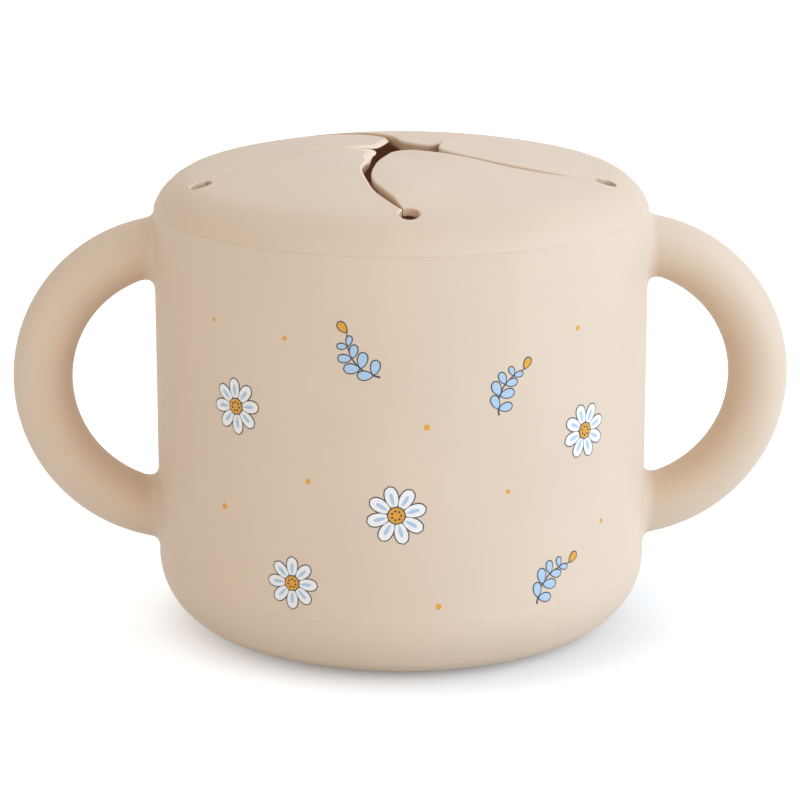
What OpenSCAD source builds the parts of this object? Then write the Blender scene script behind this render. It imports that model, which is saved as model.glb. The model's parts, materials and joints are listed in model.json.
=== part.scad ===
// Toddler snack cup in soft silicone: a round cup with two loop handles and a push-on domed
// lid. Five pinwheel flaps in the lid bend in and out so that a small hand can reach in.
// Millimetres, +Z up. Origin: middle of the foot ring, on the table. Handles lie along X.

/* [Cup] */
// Outer diameter of the cup and of the lid
body_d = 86; // [78:1:96]
// Height of the rim seat that the lid rests on
seam_z = 74.5; // [68:0.5:84]
// Thickness of the cup's wall
wall_t = 2.6; // [2.2:0.1:3.2]
// Thickness of the cup's floor
floor_t = 3.4; // [2.8:0.1:5]
// Radius of the rounded bottom edge
base_r = 12.5; // [9:0.5:15]
// Width of the foot ring under the floor
foot_w = 4.5; // [3:0.5:8]
// Depth of the hollow inside the foot ring
foot_recess = 0.8; // [0.4:0.1:1.2]

/* [Rim] */
// Width of the locating lip on the inner edge of the rim
lip_w = 0.9; // [0.7:0.1:1.1]
// Height of the locating lip above the rim seat
lip_h = 1.4; // [1:0.1:1.6]
// Clearance between the cup and the lid where they fit together
fit_gap = 0.15; // [0.1:0.05:0.25]
// Chamfer of the two outer edges that meet at the seam
seam_chamfer = 0.3; // [0.1:0.05:0.4]

/* [Handles] */
// Thickness of a handle's round section
handle_d = 10.4; // [8:0.1:11]
// Radius of a handle's loop, to the middle of its section
handle_r = 24.1; // [21:0.1:25]
// Distance from the cup's outer wall in to the loop's centre
handle_in = 4.1; // [2:0.1:8]
// Drop from the seam to the top of a handle's upper root
handle_drop = 2; // [1:0.1:6]

/* [Lid] */
// Thickness of the lid's dome and of its flaps
lid_t = 1.8; // [1.4:0.1:2.2]
// Radius of the dome
dome_r = 152; // [110:1:240]
// Radius of the rounded shoulder
shoulder_r = 9.6; // [7:0.2:12]
// Slope of the shoulder where it meets the seam, in degrees
seam_slope = 69; // [60:1:80]
// Depth of the plug that goes down inside the cup
plug_h = 6; // [4:0.5:10]
// Thickness of the plug
plug_t = 1.3; // [1:0.1:1.8]
// Space between the plug and the cup's wall, bridged by the ribs
plug_gap = 0.5; // [0.4:0.05:0.8]
// Number of sealing ribs round the plug
rib_count = 2; // [1:1:3]
// Radius of a sealing rib's section
rib_r = 0.5; // [0.4:0.05:0.7]

/* [Flaps] */
// Diameter of the relief hole at the end of each slit
hole_d = 3.7; // [3.4:0.1:4.8]
// Land between the relief holes and the plug
hole_land = 0.55; // [0.2:0.05:2]
// Width of the slits between the flaps
slit_w = 0.8; // [0.7:0.05:1.2]
// Angle between a slit and a straight spoke at either end of the slit
swirl = 38; // [20:1:42]
// Radius of each flap's rounded tip
tip_r = 3.5; // [2:0.25:5]
// Turn of the whole pinwheel about the axis, in degrees
pinwheel_turn = 0.5; // [-36:0.5:36]
// Running clearance round the bending edge of each flap
hinge_gap = 0.25; // [0.2:0.05:0.35]

/* [Resting lift of the flaps] */
// Degrees that the front right flap stands proud at rest
lift_front_right = 0; // [0:0.5:8]
// Degrees that the right flap stands proud at rest
lift_right = 0; // [0:0.5:8]
// Degrees that the back flap stands proud at rest
lift_back = 0; // [0:0.5:8]
// Degrees that the left flap stands proud at rest
lift_left = 0; // [0:0.5:8]
// Degrees that the front left flap stands proud at rest
lift_front_left = 0; // [0:0.5:8]

/* [Hidden] */

silicone = "#e6d3bd";
silicone_shade = "#dcc6ae";

fn_turn = 180;  // steps round the axis
fn_arc = 720;   // steps of a large profile circle
fn_small = 64;
big = 400;
eps = 0.01;
proud = 0.04;  // how far a rounding circle stands proud of the surfaces it blends

body_r = body_d / 2;
inner_r = body_r - wall_t;
base_in_r = max(base_r - wall_t, 1);

// Lid seat: lip on the cup, groove and plug on the lid
lip_r = inner_r + lip_w;
plug_out_r = inner_r - plug_gap;
plug_in_r = plug_out_r - plug_t;
rib_reach = plug_gap - fit_gap;

// Dome and shoulder are two arcs: the shoulder starts where the dome has its slope
shoulder_x = body_r - shoulder_r * sin(seam_slope);
shoulder_z = seam_z - shoulder_r * cos(seam_slope);
join_slope = asin(shoulder_x / (dome_r - shoulder_r));
dome_z = shoulder_z - (dome_r - shoulder_r) * cos(join_slope);
apex_z = dome_z + dome_r;
function dome_top(r) = dome_z + sqrt(pow(dome_r, 2) - pow(r, 2));
function dome_under(r) = dome_z + sqrt(pow(dome_r - lid_t, 2) - pow(r, 2));

// Pinwheel: flap k lies between relief hole k and hole k + 1, hole 0 at the front
flap_count = 5;
pitch = 360 / flap_count;
hole_r = hole_d / 2;
hole_ring_r = plug_in_r - hole_land - hole_r;
function hole_a(k) = -90 + pinwheel_turn + k * pitch;
function polar(r, a) = [r * cos(a), r * sin(a)];

// Each slit is an arc from the centre of the lid to its relief hole
slit_r = hole_ring_r / 2 / sin(swirl);
slit_c0 = polar(slit_r, 90 - swirl);
slit_c1 = polar(slit_r, 90 - swirl + pitch);

// Bending edge: the chord between two neighbouring holes
hinge_r = hole_ring_r * cos(pitch / 2);
hinge_half = hole_ring_r * sin(pitch / 2);
hinge_end_r = norm([hinge_r, hinge_half - hole_r]);
hinge_z = (dome_top(hinge_r) + dome_under(hinge_end_r)) / 2;
hinge_cover = 0.15;
roll_r = (dome_top(hinge_r) - dome_under(hinge_end_r)) / 2 + hinge_cover;
lap = 0.3;

// Tip of a flap: the circle that touches both of its slit edges
tip_a = slit_r - slit_w / 2;
tip_b = slit_r + slit_w / 2;
c_gap = norm(slit_c1 - slit_c0);
c_dir = (slit_c1 - slit_c0) / c_gap;
c_nrm = [-c_dir[1], c_dir[0]] * (slit_c0 * [c_dir[1], -c_dir[0]] > 0 ? 1 : -1);
tip_u = (pow(tip_a - tip_r, 2) - pow(tip_b + tip_r, 2) + pow(c_gap, 2)) / 2 / c_gap;
tip_v = sqrt(pow(tip_a - tip_r, 2) - pow(tip_u, 2));
tip_c = slit_c0 + c_dir * tip_u + c_nrm * tip_v;
tip_t0 = (tip_c - slit_c0) * tip_a / (tip_a - tip_r) + slit_c0;
tip_t1 = (tip_c - slit_c1) * tip_b / (tip_b + tip_r) + slit_c1;

// Handles
handle_x = body_r - handle_in;
root_half = sqrt(pow(handle_r + handle_d / 2, 2) - pow(handle_in, 2));
handle_z = seam_z - handle_drop - root_half;

// --- Profiles, drawn with X as the radius and Y as the height ---

// All that lies under the lid's outer surface, sunk by an even depth
module under_lid(depth) {
  intersection() {
    translate([0, dome_z]) circle(dome_r - depth, $fn = fn_arc);
    union() {
      translate([0, shoulder_z]) square([shoulder_x, apex_z]);
      translate([shoulder_x, shoulder_z]) circle(shoulder_r - depth + proud, $fn = fn_arc);
    }
  }
}

// All that lies inside the cup's outer surface
module cup_outline(r, edge, z0, z1) {
  translate([0, z0 + edge]) square([r, z1 - z0 - edge]);
  translate([0, z0]) square([r - edge, edge + eps]);
  translate([r - edge, z0 + edge]) intersection() {
    circle(edge, $fn = fn_turn);
    translate([-eps, -edge]) square([edge + eps, edge + eps]);
  }
}

module cup_profile() {
  difference() {
    union() {
      cup_outline(body_r, base_r, 0, seam_z);
      translate([0, seam_z - eps]) square([lip_r, lip_h + eps]);
    }
    cup_outline(inner_r, base_in_r, floor_t, seam_z + lip_h + 1);
    translate([-1, -1]) square([body_r - base_r - foot_w + 1, foot_recess + 1]);
    // chamfer of the outer edge at the seam
    translate([body_r, seam_z])
      polygon([[-seam_chamfer, eps], [eps, -seam_chamfer], [1, -seam_chamfer], [1, 1], [-seam_chamfer, 1]]);
  }
}

module lid_profile() {
  difference() {
    union() {
      intersection() {
        under_lid(0);
        translate([0, seam_z]) square([body_r, apex_z]);
      }
      translate([plug_in_r, seam_z - plug_h]) square([plug_t, plug_h + 1]);
      for (k = [0 : rib_count - 1])
        translate([plug_out_r + rib_reach - rib_r, seam_z - plug_h * (k + 0.7) / rib_count])
          circle(rib_r, $fn = fn_small);
    }
    // hollow under the dome
    intersection() {
      under_lid(lid_t);
      translate([-eps, seam_z - 1]) square([plug_in_r + eps, apex_z]);
    }
    // groove for the cup's lip
    translate([plug_out_r, seam_z - 1]) square([lip_r + fit_gap - plug_out_r, lip_h + fit_gap + 1]);
    translate([body_r, seam_z])
      polygon([[-seam_chamfer, -eps], [eps, seam_chamfer], [1, seam_chamfer], [1, -1], [-seam_chamfer, -1]]);
  }
}

// --- Cup ---

module cup() {
  color(silicone) rotate_extrude($fn = fn_turn) cup_profile();
}

// Loop handle, trimmed to the cup's outer surface
module handle(side) {
  color(silicone_shade)
    difference() {
      translate([side * handle_x, 0, handle_z]) rotate([90, 0, 0])
        rotate_extrude($fn = fn_turn) translate([handle_r, 0]) circle(d = handle_d, $fn = fn_small);
      rotate_extrude($fn = fn_turn) cup_outline(body_r, base_r, 0, seam_z);
    }
}

module handle_left() handle(-1);
module handle_right() handle(1);

// --- Lid ---

module relief_hole(k) {
  rotate([0, 0, hole_a(k)]) translate([hole_ring_r, 0, seam_z])
    cylinder(r = hole_r, h = apex_z - seam_z + 5, $fn = fn_small);
}

// Round bar along the bending edge of flap k
module hinge_bar(k, r, half) {
  rotate([0, 0, hole_a(k + 0.5)]) translate([hinge_r, 0, hinge_z]) rotate([90, 0, 0])
    cylinder(r = r, h = 2 * half, center = true, $fn = fn_small);
}

module lid() {
  color(silicone)
    difference() {
      rotate_extrude($fn = fn_turn) lid_profile();
      // five-sided opening that the flaps fill
      rotate([0, 0, hole_a(0)]) translate([0, 0, seam_z - plug_h - 1])
        cylinder(r = hole_ring_r, h = apex_z, $fn = flap_count);
      for (k = [0 : flap_count - 1]) {
        relief_hole(k);
        hinge_bar(k, roll_r + hinge_gap, hinge_half);
      }
    }
}

// --- Flaps ---

// Plan of a flap whose first hole lies on the X axis
module flap_plan() {
  difference() {
    intersection() {
      translate(slit_c0) circle(slit_r - slit_w / 2, $fn = fn_arc);
      rotate(pitch / 2) translate([-big, -big]) square([big + hinge_r + lap, 2 * big]);
    }
    translate(slit_c1) circle(slit_r + slit_w / 2, $fn = fn_arc);
    difference() {
      polygon([tip_c, tip_c + 4 * (tip_t0 - tip_c), tip_c + 4 * (tip_t1 - tip_c)]);
      translate(tip_c) circle(tip_r + proud, $fn = fn_arc);
    }
  }
}

// A flap follows the dome and ends in a round edge that turns in the lid's rounded groove
module flap(k, lift) {
  a = hole_a(k + 0.5);
  color(k % 2 == 0 ? silicone : silicone_shade)
    translate([0, 0, hinge_z]) rotate([0, 0, a]) translate([hinge_r, 0, 0])
      rotate([0, lift, 0]) translate([-hinge_r, 0, 0]) rotate([0, 0, -a]) translate([0, 0, -hinge_z])
        difference() {
          intersection() {
            translate([0, 0, dome_z]) difference() {
              sphere(dome_r, $fn = fn_arc);
              sphere(dome_r - lid_t, $fn = fn_arc);
            }
            union() {
              rotate([0, 0, hole_a(k)]) translate([0, 0, seam_z]) linear_extrude(apex_z) flap_plan();
              intersection() {
                hinge_bar(k, roll_r, hinge_half);
                rotate([0, 0, a]) translate([hinge_r - 0.1, -hinge_half - 1, 0])
                  cube([2 * roll_r, 2 * hinge_half + 2, 2 * apex_z]);
              }
            }
          }
          relief_hole(k);
          relief_hole(k + 1);
        }
}

module flap_front_right() flap(0, lift_front_right);
module flap_right() flap(1, lift_right);
module flap_back() flap(2, lift_back);
module flap_left() flap(3, lift_left);
module flap_front_left() flap(4, lift_front_left);

cup();
handle_left();
handle_right();
lid();
flap_front_right();
flap_right();
flap_back();
flap_left();
flap_front_left();
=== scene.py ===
"""Looks of a toddler snack cup: soft silicone cup with two loops, and a lid with pinwheel flaps."""

import json
import math
from functools import partialmethod
from typing import NamedTuple

import bmesh
import bpy
import numpy as np
from bpy.props import FloatProperty, FloatVectorProperty, IntProperty, PointerProperty
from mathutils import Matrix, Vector
from mathutils.geometry import delaunay_2d_cdt


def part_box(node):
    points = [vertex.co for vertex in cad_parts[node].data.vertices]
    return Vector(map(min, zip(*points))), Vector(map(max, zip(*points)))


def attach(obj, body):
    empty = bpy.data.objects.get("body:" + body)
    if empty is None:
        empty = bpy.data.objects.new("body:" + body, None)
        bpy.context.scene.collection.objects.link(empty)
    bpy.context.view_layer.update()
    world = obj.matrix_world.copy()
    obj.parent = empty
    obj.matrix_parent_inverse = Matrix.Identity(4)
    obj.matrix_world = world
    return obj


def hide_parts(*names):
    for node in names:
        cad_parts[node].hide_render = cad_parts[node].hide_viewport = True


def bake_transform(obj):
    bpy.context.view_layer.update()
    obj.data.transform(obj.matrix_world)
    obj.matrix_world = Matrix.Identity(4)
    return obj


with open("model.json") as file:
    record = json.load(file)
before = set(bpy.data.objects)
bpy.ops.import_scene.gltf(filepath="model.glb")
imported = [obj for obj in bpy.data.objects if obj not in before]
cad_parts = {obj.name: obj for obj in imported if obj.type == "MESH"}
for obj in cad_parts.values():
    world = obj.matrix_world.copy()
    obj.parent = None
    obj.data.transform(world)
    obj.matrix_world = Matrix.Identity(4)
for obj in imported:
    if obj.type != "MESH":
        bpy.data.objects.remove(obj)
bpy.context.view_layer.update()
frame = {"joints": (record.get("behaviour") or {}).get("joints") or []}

bl_info = {
    "name": "Toddler snack cup",
    "version": (1, 0, 0),
    "blender": (4, 5, 0),
    "location": "View3D > Sidebar > Snack cup",
    "description": "Builds a silicone snack cup with loop handles, a flap lid and a flower print",
    "category": "Add Mesh",
}

MM = 0.001
CUP_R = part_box("cup")[1].x
FLAP_JOINTS = [j for j in frame["joints"] if j["type"] == "hinge"]
FLAP_COUNT = len(FLAP_JOINTS)
PITCH = math.tau / FLAP_COUNT
HINGE = Vector(FLAP_JOINTS[0]["pos_m"])
HINGE_R = HINGE.xy.length
HOLE_RING_R = HINGE_R / math.cos(PITCH / 2)
TURN = math.atan2(HINGE.y, HINGE.x) - PITCH / 2  # direction of the first relief hole
FIT_GAP = 0.15 * MM  # between the cup and the lid where they fit together
SHARP = math.radians(40)  # edges above this angle are shaded as sharp


# --- Sizes and colours that a user would change ---


def length(name, text, default):
    """A length, given here in millimetres and kept in metres."""
    return FloatProperty(name=name, description=text, default=default * MM, unit="LENGTH", precision=5)


def colour(name, text, default):
    return FloatVectorProperty(
        name=name, description=text, default=default, subtype="COLOR", size=3, min=0, max=1
    )


class CupShape(bpy.types.PropertyGroup):
    radius: length("Radius", "Outer radius of the cup and the lid", CUP_R / MM)
    seam_z: length("Seam height", "Height of the rim seat that the lid rests on", 74.5)
    wall: length("Wall", "Thickness of the cup's wall", 2.6)
    floor: length("Floor", "Thickness of the cup's floor", 3.4)
    base_r: length("Base radius", "Radius of the rounded bottom edge", 12.5)
    foot_w: length("Foot width", "Width of the foot ring under the floor", 4.5)
    foot_recess: length("Foot recess", "Depth of the hollow inside the foot ring", 0.8)
    lip_w: length("Lip width", "Width of the locating lip on the rim", 0.9)
    lip_h: length("Lip height", "Height of the locating lip above the seat", 1.4)
    seam_edge: length("Seam edge", "Rounding of the two edges that meet at the seam", 0.05)
    parting_z: length("Parting line", "Height of the mould's parting line", 12.1)


class LoopShape(bpy.types.PropertyGroup):
    section_r: length("Section radius", "Radius of a handle's round section", 5.2)
    loop_r: length("Loop radius", "Radius of a loop, to the middle of its section", 24.1)
    inset: length("Inset", "Distance from the cup's wall in to the loop's centre", 4.1)
    fillet_in: length("Inner fillet", "Fillet at the root, on the finger's side", 2.7)
    fillet_out: length("Outer fillet", "Fillet at the root, on the outer side", 1.6)


class LidShape(bpy.types.PropertyGroup):
    skin: length("Thickness", "Thickness of the dome and the flaps", 1.8)
    apex_z: length("Apex", "Height of the dome's middle", 84.79)
    dome_r: length("Dome radius", "Radius of the dome", 152)
    shoulder_r: length("Shoulder radius", "Radius of the rounded shoulder", 9.6)
    shoulder_x: length("Shoulder reach", "Radius at which the shoulder's centre lies", 34.04)
    shoulder_z: length("Shoulder height", "Height of the shoulder's centre", 71.06)
    plug_h: length("Plug depth", "Depth of the plug inside the cup", 6)
    plug_t: length("Plug thickness", "Thickness of the plug", 1.3)
    plug_gap: length("Plug gap", "Space between the plug and the wall", 0.5)
    rib_r: length("Rib radius", "Radius of a sealing rib's section", 0.5)


class FlapShape(bpy.types.PropertyGroup):
    hole_r: length("Hole radius", "Radius of a relief hole", 1.85)
    slit: length("Slit width", "Width of the slits between the flaps", 0.12)
    swirl: FloatProperty(
        name="Swirl", description="Angle between a slit and a straight spoke",
        default=math.radians(38), subtype="ANGLE",
    )
    edge_r: length("Edge rounding", "Rounding of the flaps' upper edges", 0.2)
    under_r: length("Lower rounding", "Rounding of the flaps' lower edges", 0.1)
    bend: length("Bend", "Length of silicone that bends at a flap's root", 9)


# Colours of the silicone and the inks, and of painted light: a painted highlight on thin rims, painted shade
# in slits, holes and loops, and a faint painted glow inside
class ColoursAndPaintedLight(bpy.types.PropertyGroup):
    silicone: colour("Silicone", "Colour of the silicone", (0.724, 0.601, 0.478))
    charcoal: colour("Charcoal ink", "Ink of the lines, the stems and the seeds", (0.05, 0.055, 0.065))
    amber: colour("Amber ink", "Ink of the flowers' middles, the buds and the dots", (0.75, 0.37, 0.04))
    white: colour("White ink", "Ink of the petals", (0.88, 0.89, 0.9))
    sky: colour("Pale blue ink", "Ink of the petals' streaks and the leaves", (0.42, 0.6, 0.8))
    # painted highlight on the thin rims of the flaps and holes, standing in for light through the silicone
    painted_highlight_tone: colour("Thin edge", "Colour where thin silicone lets light through", (0.98, 0.82, 0.66))
    # painted shade down in the slits and holes and on the loops' inner sides
    painted_shade_tone: colour("Slit wall", "Colour down in the slits and inside the loops", (0.67, 0.487, 0.33))
    # strength of a faint warm glow painted inside the cup, the lid and the flaps, standing in for light
    # through the walls
    through: FloatProperty(
        name="Light through", description="Light that the walls let through to the inside", default=0.02,
    )
    grain: length("Grain", "Size of the silicone's fine grain", 0.35)


class PrintShape(bpy.types.PropertyGroup):
    petals: IntProperty(name="Petals", description="Petals of a flower", default=8, min=5, max=12)
    flower_r: length("Flower radius", "Radius of a flower over its petals", 5.2)
    sprig: length("Sprig size", "Length of a sprig's stem", 9.5)
    line_w: length("Line width", "Width of the dark lines round petals and leaves", 0.2)
    ink: length("Ink thickness", "Height of one layer of ink on the wall", 0.03)


class CupSettings(bpy.types.PropertyGroup):
    cup: PointerProperty(type=CupShape)
    loops: PointerProperty(type=LoopShape)
    lid: PointerProperty(type=LidShape)
    flaps: PointerProperty(type=FlapShape)
    print: PointerProperty(type=PrintShape)
    finish: PointerProperty(type=ColoursAndPaintedLight)


# --- Points, rows and meshes ---


def arc(x, z, r, start, end, steps):
    """Points on a circle from one angle to another, in degrees."""
    turns = np.radians(np.linspace(start, end, steps + 1))
    return [(x + r * math.cos(t), z + r * math.sin(t)) for t in turns]


def line(a, b, steps):
    """Points from a to b without a itself."""
    return [tuple(np.array(a) + (np.array(b) - a) * k / steps) for k in range(1, steps + 1)]


def polar(r, angle):
    return np.array([r * math.cos(angle), r * math.sin(angle)])


def revolve_row(point, angles):
    """A row of a surface of revolution: one (radius, height) point at all the angles."""
    r, z = point
    return np.stack([r * np.cos(angles), r * np.sin(angles), np.full(len(angles), z)], axis=1)


def show(name, data):
    """A new object in the scene."""
    thing = bpy.data.objects.new(name, data)
    bpy.context.scene.collection.objects.link(thing)
    return thing


def plain_mesh(name, verts, faces, material):
    mesh = bpy.data.meshes.new(name)
    mesh.from_pydata(verts, [], faces)
    mesh.materials.append(material)
    return mesh


def new_piece(name, skin, material, notes):
    """An object from a skin, with doubles merged, faces outwards and smooth shading.

    Notes are numbers kept at each point for the material, as lists by name.
    """
    mesh = plain_mesh(name, [tuple(v) for v in skin.verts], skin.faces, material)
    for note, values in notes.items():
        kept = mesh.attributes.new(note, "FLOAT", "POINT")
        kept.data.foreach_set("value", np.asarray(values, np.float32))
    merged = bmesh.new()
    merged.from_mesh(mesh)
    bmesh.ops.remove_doubles(merged, verts=merged.verts, dist=0.002 * MM)
    bmesh.ops.recalc_face_normals(merged, faces=merged.faces)
    merged.to_mesh(mesh)
    merged.free()
    mesh.shade_smooth()
    mesh.set_sharp_from_angle(angle=SHARP)
    return show(name, mesh)


def grid_faces(first, second):
    """Quads between two closed rows of vertex numbers."""
    count = len(first)
    return [(first[k], first[(k + 1) % count], second[(k + 1) % count], second[k]) for k in range(count)]


class Skin:
    """Collects rows of points and the quads between them."""

    def __init__(self):
        self.verts = []
        self.faces = []

    def row(self, points):
        start = len(self.verts)
        self.verts.extend(np.asarray(points, float).tolist())
        return list(range(start, len(self.verts)))

    def strip(self, rows):
        for first, second in zip(rows, rows[1:]):
            self.faces.extend(grid_faces(first, second))

    def pole(self, row, point):
        middle = self.row([point])[0]
        count = len(row)
        self.faces.extend((row[k], row[(k + 1) % count], middle) for k in range(count))


# --- Node trees ---


def feed(socket, given):
    """Links an output to an input or sets the input's value; None leaves it as it is."""
    if isinstance(given, bpy.types.NodeSocket):
        socket.id_data.links.new(given, socket)
    elif given is not None:
        socket.default_value = given


class Tree:
    """Short forms for building a node tree."""

    def __init__(self, tree):
        self.tree = tree

    def node(self, kind, *inputs, named=None, **settings):
        """A node with its settings, and with inputs given in order or by name."""
        node = self.tree.nodes.new(kind)
        for key, setting in settings.items():
            setattr(node, key, setting)
        for socket, given in zip([s for s in node.inputs if s.enabled], inputs):
            feed(socket, given)
        for name, given in (named or {}).items():
            feed(node.inputs[name], given)
        return node

    def calc(self, operation, *inputs, **settings):
        return self.node("ShaderNodeMath", *inputs, operation=operation, **settings).outputs[0]

    add = partialmethod(calc, "ADD")
    less = partialmethod(calc, "SUBTRACT")
    times = partialmethod(calc, "MULTIPLY")
    over = partialmethod(calc, "DIVIDE")

    def vector(self, operation, *inputs, named=None):
        """Outputs of a vector calculation: Vector, and Value where the result is one number."""
        return self.node("ShaderNodeVectorMath", *inputs, named=named, operation=operation).outputs

    def join(self, x, y, z):
        return self.node("ShaderNodeCombineXYZ", x, y, z).outputs[0]

    def split(self, vector):
        return self.node("ShaderNodeSeparateXYZ", vector).outputs

    def smooth(self, value, start, end, top):
        """0 up to start and top from end on, with a soft rise between."""
        rise = self.node("ShaderNodeMapRange", value, start, end, 0.0, top, interpolation_type="SMOOTHSTEP")
        return rise.outputs["Result"]


class ShapeTree(Tree):
    """A geometry node group with named inputs."""

    def __init__(self, name):
        super().__init__(bpy.data.node_groups.new(name, "GeometryNodeTree"))
        for way in ("INPUT", "OUTPUT"):
            self.tree.interface.new_socket(name="Geometry", in_out=way, socket_type="NodeSocketGeometry")
        self.given = self.tree.nodes.new("NodeGroupInput").outputs

    def ask(self, kind, *names):
        """Adds inputs of one kind, such as Float or Vector."""
        for name in names:
            self.tree.interface.new_socket(name=name, in_out="INPUT", socket_type="NodeSocket" + kind)

    def finish(self, geometry, place, material):
        """Moves the points to their place and ends in Realize Instances and Set Material."""
        moved = self.node("GeometryNodeSetPosition", geometry, None, place).outputs[0]
        real = self.node("GeometryNodeRealizeInstances", moved).outputs[0]
        painted = self.node("GeometryNodeSetMaterial", real, None, material).outputs[0]
        self.node("NodeGroupOutput", painted)
        return self.tree


def run_tree(piece, group, values):
    """Applies a node group with the given inputs and returns the result as a plain mesh."""
    modifier = piece.modifiers.new("shape", "NODES")
    modifier.node_group = group
    for item in group.interface.items_tree:
        if item.in_out == "INPUT" and item.name in values:
            modifier[item.identifier] = values[item.name]
    piece.update_tag()
    graph = bpy.context.evaluated_depsgraph_get()
    graph.update()
    mesh = bpy.data.meshes.new_from_object(piece.evaluated_get(graph))
    piece.modifiers.remove(modifier)
    return mesh


# --- Materials ---


def shader_material(name):
    """A new material, its tree and the inputs of its shader."""
    material = bpy.data.materials.new(name)
    material.use_nodes = True
    return material, Tree(material.node_tree), material.node_tree.nodes["Principled BSDF"].inputs


def emptied(owner):
    """The cleared node tree of a material or a world."""
    owner.use_nodes = True
    owner.node_tree.nodes.clear()
    return Tree(owner.node_tree)


def object_place(tree):
    return tree.node("ShaderNodeTexCoord").outputs["Object"]


def noise(tree, place, **named):
    return tree.node("ShaderNodeTexNoise", named={"Vector": place, **named}).outputs["Fac"]


def shades(tree, share, tone, low, high):
    """A tone that grows brighter with a share; low and high are (share, brightness)."""
    ramp = tree.node("ShaderNodeValToRGB", share)
    for element, (position, brightness) in zip(ramp.color_ramp.elements, (low, high)):
        element.position = position
        element.color = (*[min(1, brightness * c) for c in tone], 1)
    return ramp.outputs["Color"]


def ink_material(name, tone):
    """Printed ink: a little smoother than the silicone, with uneven coverage."""
    material, tree, shader = shader_material(name)
    speckle = noise(tree, object_place(tree), Scale=1800, Detail=2)
    shader["Roughness"].default_value = 0.5
    shader["Specular IOR Level"].default_value = 0.35
    feed(shader["Base Color"], shades(tree, speckle, tone, (0.3, 0.96), (0.7, 1.03)))
    return material


def silicone_material(finish):
    """Matte food-grade silicone: soft sheen, faint cloudiness in the colour and a fine grain.

    Two numbers kept at the points steer it. Where "edge" is above 0 the colour turns to a painted highlight
    for thin rims, and below 0 to painted shade for slits, holes and the loops' inner sides. The other number
    is 1 where a faint glow is painted, standing in for light that comes through walls.
    """
    material, tree, shader = shader_material("matte_silicone")
    place = object_place(tree)
    edge, deep = (
        tree.node("ShaderNodeAttribute", attribute_name=name).outputs["Fac"] for name in ("edge", "deep")
    )
    clouds = noise(tree, place, Scale=45, Detail=4)
    tone = shades(tree, clouds, finish.silicone, (0.25, 0.975), (0.75, 1.02))
    # painted highlight where "edge" is above 0, painted shade where it is below
    for sign, other in ((1, finish.painted_highlight_tone), (-1, finish.painted_shade_tone)):
        share = tree.times(edge, sign, use_clamp=True)
        named = {"Factor": share, "A": tone, "B": (*other, 1)}
        tone = tree.node("ShaderNodeMix", named=named, data_type="RGBA").outputs["Result"]
    grain = noise(tree, place, Scale=1 / finish.grain, Detail=5, Roughness=0.6)
    relief = {"Strength": 0.25, "Distance": 0.02 * MM, "Height": grain}
    shader["Specular IOR Level"].default_value = 0.35
    shader["Sheen Weight"].default_value = 0.03
    shader["Sheen Roughness"].default_value = 0.45
    # a faint warm glow painted where light would come through the walls
    shader["Emission Color"].default_value = (1.0, 0.42, 0.2, 1)
    feed(shader["Base Color"], tone)
    feed(shader["Emission Strength"], tree.times(deep, finish.through))
    feed(shader["Roughness"], tree.node("ShaderNodeMapRange", grain, 0.0, 1.0, 0.5, 0.62).outputs["Result"])
    feed(shader["Normal"], tree.node("ShaderNodeBump", named=relief).outputs["Normal"])
    return material


def material_named(name, make, *values):
    """The material of that name, made the first time it is asked for."""
    return bpy.data.materials.get(name) or make(*values)


def silicone():
    return material_named("matte_silicone", silicone_material, bpy.context.scene.snack_cup.finish)


def ink(name):
    tone = tuple(getattr(bpy.context.scene.snack_cup.finish, name))
    return material_named(name + "_ink", ink_material, name + "_ink", tone)


# --- Cup with its two loops, one moulding ---

COLUMNS = 256  # round the cup; a whole number of them spans each patch at a handle's root
PATCH_COLUMNS = 8  # to each side of a root
PATCH_ROWS = 12
PATCH_RINGS = 5
LOOP_ROWS = 72
FILLET_STEPS = 5
FLOOR_MIDDLE_R = 4 * MM  # radius of the last row inside, round the middle of the floor
PARTING_RIDGE = ((-0.2, 0), (-0.1, 0.6), (0, 1), (0.1, 0.6), (0.2, 0))  # (rise in mm, share of its height)


def base_profile(cup):
    """From the middle of the underside out over the foot ring to the top of the rounded edge."""
    foot_out = cup.radius - cup.base_r
    foot_in = foot_out - cup.foot_w
    step_r = 0.4 * MM
    ridge_h = 0.04 * MM
    points = [(foot_in * k / 8, cup.foot_recess) for k in range(1, 8)]
    points += [(foot_in - step_r, cup.foot_recess)]
    points += arc(foot_in, step_r, step_r, 180, 270, 5)
    points += line(points[-1], (foot_out, 0), 4)
    below = cup.parting_z - 0.3 * MM
    end = math.degrees(math.asin((below - cup.base_r) / cup.base_r))
    points += arc(foot_out, cup.base_r, cup.base_r, -90, end, 28)[1:]
    for rise, share in PARTING_RIDGE:
        z = cup.parting_z + rise * MM
        reach = math.sqrt(cup.base_r**2 - (cup.base_r - z) ** 2)
        points.append((foot_out + reach + share * ridge_h, z))
    points.append((cup.radius, cup.base_r))
    return points


def rim_profile(cup):
    """From the outer edge of the seam over the lip and down inside to the middle of the floor."""
    inner = cup.radius - cup.wall
    lip = inner + cup.lip_w
    top = cup.seam_z + cup.lip_h
    edge = cup.seam_edge
    lip_edge = 0.25 * MM
    base_in = cup.base_r - cup.wall
    points = arc(cup.radius - edge, cup.seam_z - edge, edge, 0, 90, 3)
    points += line(points[-1], (lip, cup.seam_z), 2)
    points += arc(lip - lip_edge, top - lip_edge, lip_edge, 0, 90, 4)
    points += arc(inner + lip_edge, top - lip_edge, lip_edge, 90, 180, 4)
    points += line(points[-1], (inner, cup.floor + base_in), 20)
    points += arc(inner - base_in, cup.floor + base_in, base_in, 0, -90, 24)[1:]
    points += line(points[-1], (FLOOR_MIDDLE_R, cup.floor), 8)
    return points


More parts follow.
